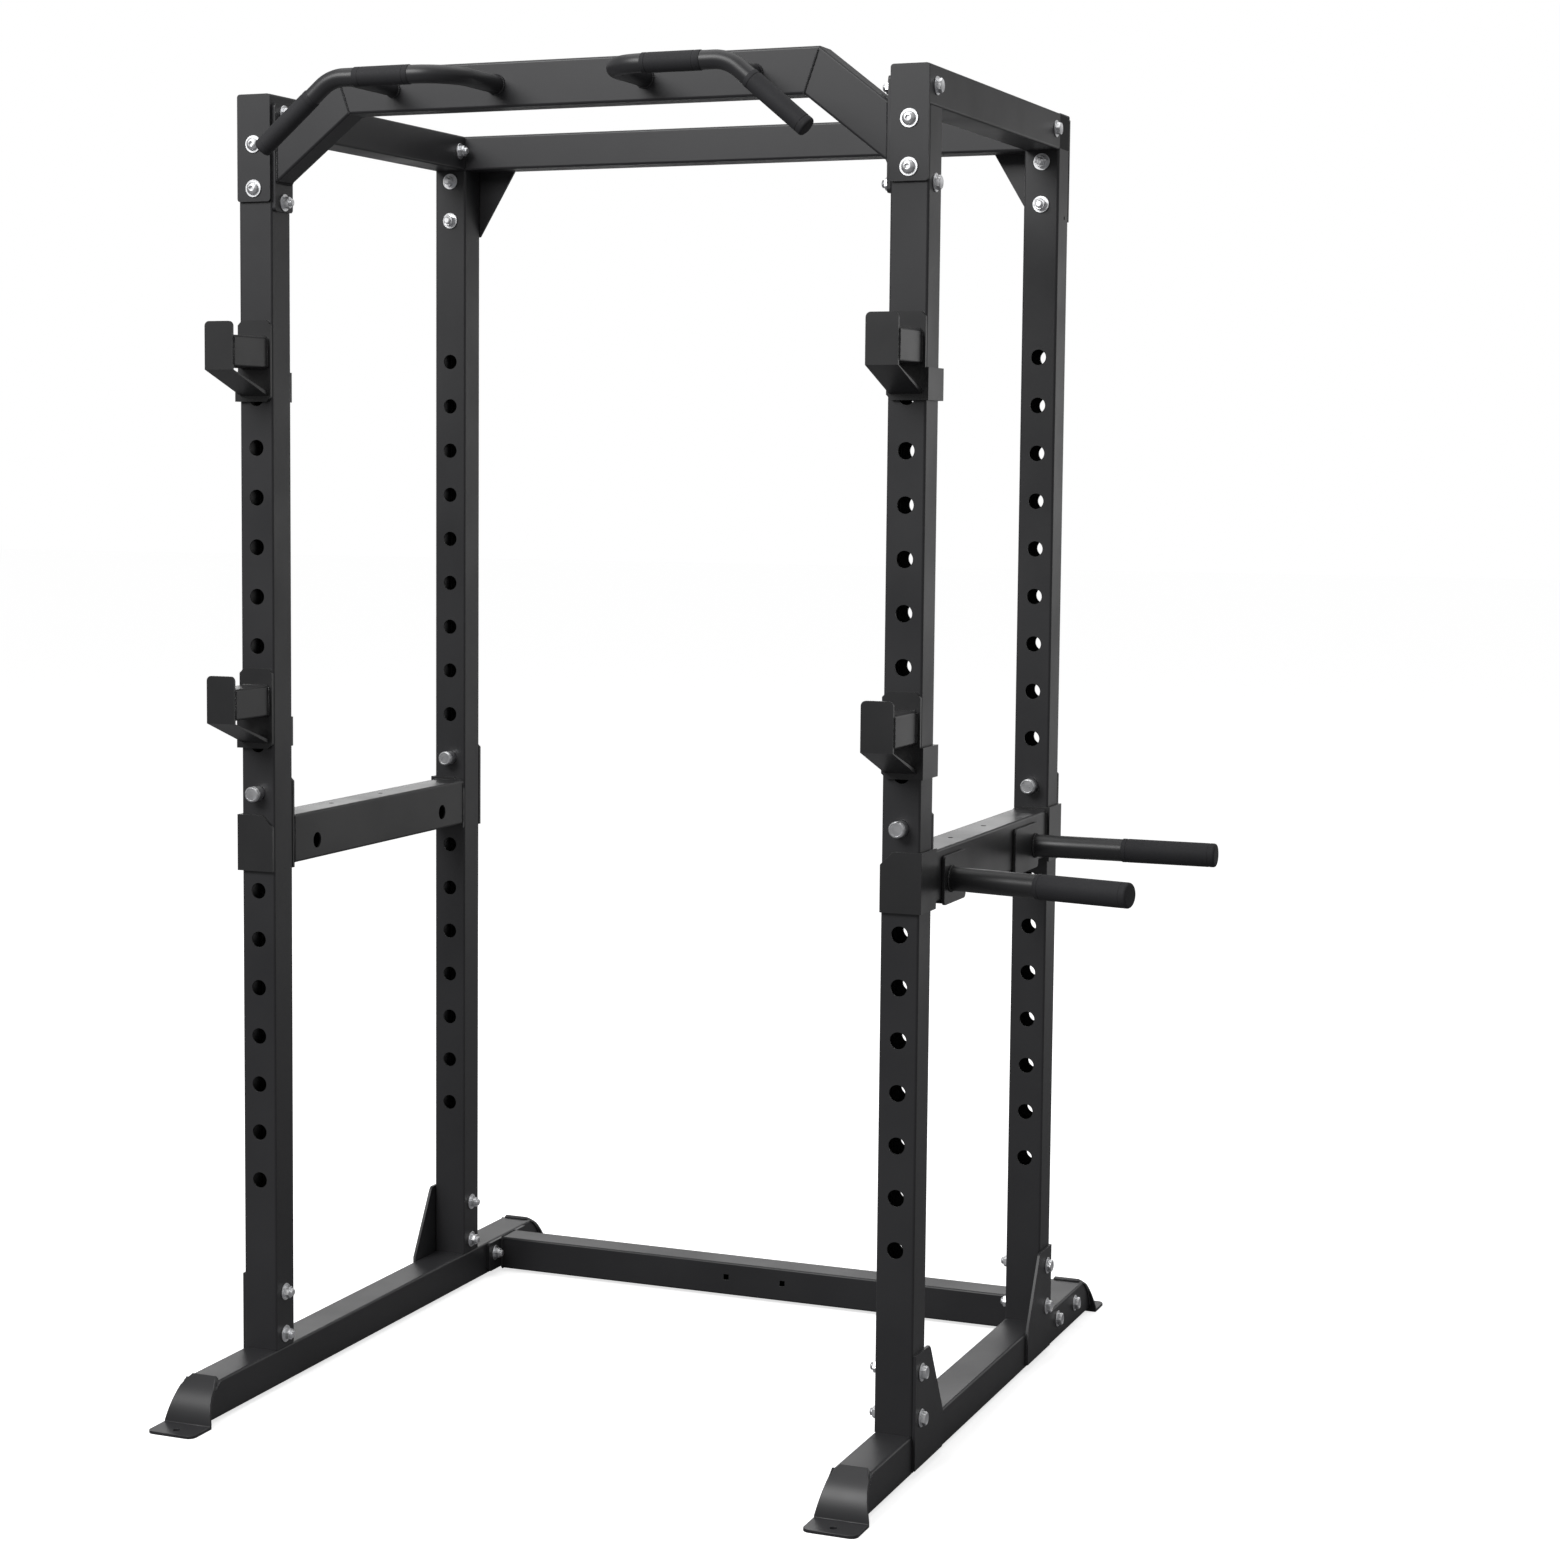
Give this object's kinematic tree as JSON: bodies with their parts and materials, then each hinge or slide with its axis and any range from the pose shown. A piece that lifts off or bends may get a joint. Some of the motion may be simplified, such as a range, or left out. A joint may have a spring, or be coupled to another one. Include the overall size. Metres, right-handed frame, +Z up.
{
  "type": "power cage",
  "caption": "Free-standing steel power cage with punched uprights, curved feet, a bent multi-grip pull-up beam, J-hooks, pin-locked safety bars and dip handles.",
  "frame": {"origin": "on the floor, at the centre of the four floor anchor holes", "axes": "+X to the right hand side seen from the front, -Y towards the front (the J-hook side), +Z up"},
  "size_m": [1.4838, 1.368, 2.145],
  "materials": {
    "coated_steel_frame": "black powder coat, low sheen, very fine orange peel, slightly worn at plate edges",
    "coated_steel_accessory": "black powder coat, a little smoother and more rubbed than the frame",
    "zinc_hardware": "bright zinc plate on bolts, washers and nuts",
    "chrome_pin": "turned and plated locking pins with fine ring marks",
    "grip_sleeve": "matt black textured hand grip",
    "plastic_cap": "moulded black end caps"
  },
  "bodies": {
    "frame": {"base_rail_left": "coated_steel_frame", "base_rail_right": "coated_steel_frame", "foot_front_left": "coated_steel_frame", "foot_front_right": "coated_steel_frame", "foot_rear_left": "coated_steel_frame", "foot_rear_right": "coated_steel_frame", "lug_front_left": "coated_steel_frame", "lug_front_right": "coated_steel_frame", "lug_rear_left": "coated_steel_frame", "lug_rear_right": "coated_steel_frame", "rear_base_beam": "coated_steel_frame", "base_beam_plate_left": "coated_steel_frame", "base_beam_plate_right": "coated_steel_frame", "upright_front_left": "coated_steel_frame", "upright_front_right": "coated_steel_frame", "upright_rear_left": "coated_steel_frame", "upright_rear_right": "coated_steel_frame", "top_rail_left": "coated_steel_frame", "top_rail_right": "coated_steel_frame", "top_plate_left": "coated_steel_frame", "top_plate_right": "coated_steel_frame", "rear_top_beam": "coated_steel_frame", "rear_gusset_left": "coated_steel_frame", "rear_gusset_right": "coated_steel_frame", "beam_end_caps": "plastic_cap", "pullup_beam": "coated_steel_frame", "pullup_arm_left": "coated_steel_frame", "pullup_arm_right": "coated_steel_frame", "pullup_flange_left": "coated_steel_frame", "pullup_flange_right": "coated_steel_frame", "pullup_handle_left": "coated_steel_frame", "pullup_handle_right": "coated_steel_frame", "pullup_grips": "grip_sleeve", "frame_bolts": "zinc_hardware", "frame_washers": "zinc_hardware", "frame_nuts": "zinc_hardware"},
    "jhook_upper_left": {"jhook_upper_left": "coated_steel_accessory", "jhook_upper_left_pin": "chrome_pin"},
    "jhook_upper_right": {"jhook_upper_right": "coated_steel_accessory", "jhook_upper_right_pin": "chrome_pin"},
    "jhook_lower_left": {"jhook_lower_left": "coated_steel_accessory", "jhook_lower_left_pin": "chrome_pin"},
    "jhook_lower_right": {"jhook_lower_right": "coated_steel_accessory", "jhook_lower_right_pin": "chrome_pin"},
    "safety_left": {"safety_left_bar": "coated_steel_accessory", "safety_left_front_bracket": "coated_steel_accessory", "safety_left_rear_bracket": "coated_steel_accessory", "safety_left_pins": "chrome_pin"},
    "safety_right": {"safety_right_bar": "coated_steel_accessory", "safety_right_front_bracket": "coated_steel_accessory", "safety_right_rear_bracket": "coated_steel_accessory", "safety_right_pins": "chrome_pin"},
    "dip_front": {"dip_front_plate": "coated_steel_accessory", "dip_front_tube": "coated_steel_accessory", "dip_front_grip": "grip_sleeve"},
    "dip_rear": {"dip_rear_plate": "coated_steel_accessory", "dip_rear_tube": "coated_steel_accessory", "dip_rear_grip": "grip_sleeve"}
  },
  "joints": [
    {"name": "jhook_upper_left_swing", "type": "hinge", "parent": "frame", "child": "jhook_upper_left", "pos_m": [-0.55, -0.4, 1.71], "axis": [0, 1, 0], "range_deg": [0, 90]},
    {"name": "jhook_upper_right_swing", "type": "hinge", "parent": "frame", "child": "jhook_upper_right", "pos_m": [0.55, -0.4, 1.71], "axis": [0, -1, 0], "range_deg": [0, 90]},
    {"name": "jhook_lower_left_swing", "type": "hinge", "parent": "frame", "child": "jhook_lower_left", "pos_m": [-0.55, -0.4, 1.15], "axis": [0, 1, 0], "range_deg": [0, 90]},
    {"name": "jhook_lower_right_swing", "type": "hinge", "parent": "frame", "child": "jhook_lower_right", "pos_m": [0.55, -0.4, 1.15], "axis": [0, -1, 0], "range_deg": [0, 90]},
    {"name": "safety_left_swing", "type": "hinge", "parent": "frame", "child": "safety_left", "pos_m": [-0.55, -0.4, 0.99], "axis": [0, 1, 0], "range_deg": [0, 90]},
    {"name": "safety_right_swing", "type": "hinge", "parent": "frame", "child": "safety_right", "pos_m": [0.55, -0.4, 0.99], "axis": [0, -1, 0], "range_deg": [0, 90]},
    {"name": "dip_front_slide", "type": "slide", "parent": "safety_right", "child": "dip_front", "axis": [1, 0, 0], "range_m": [0, 0.07]},
    {"name": "dip_rear_slide", "type": "slide", "parent": "safety_right", "child": "dip_rear", "axis": [1, 0, 0], "range_m": [0, 0.07]}
  ]
}
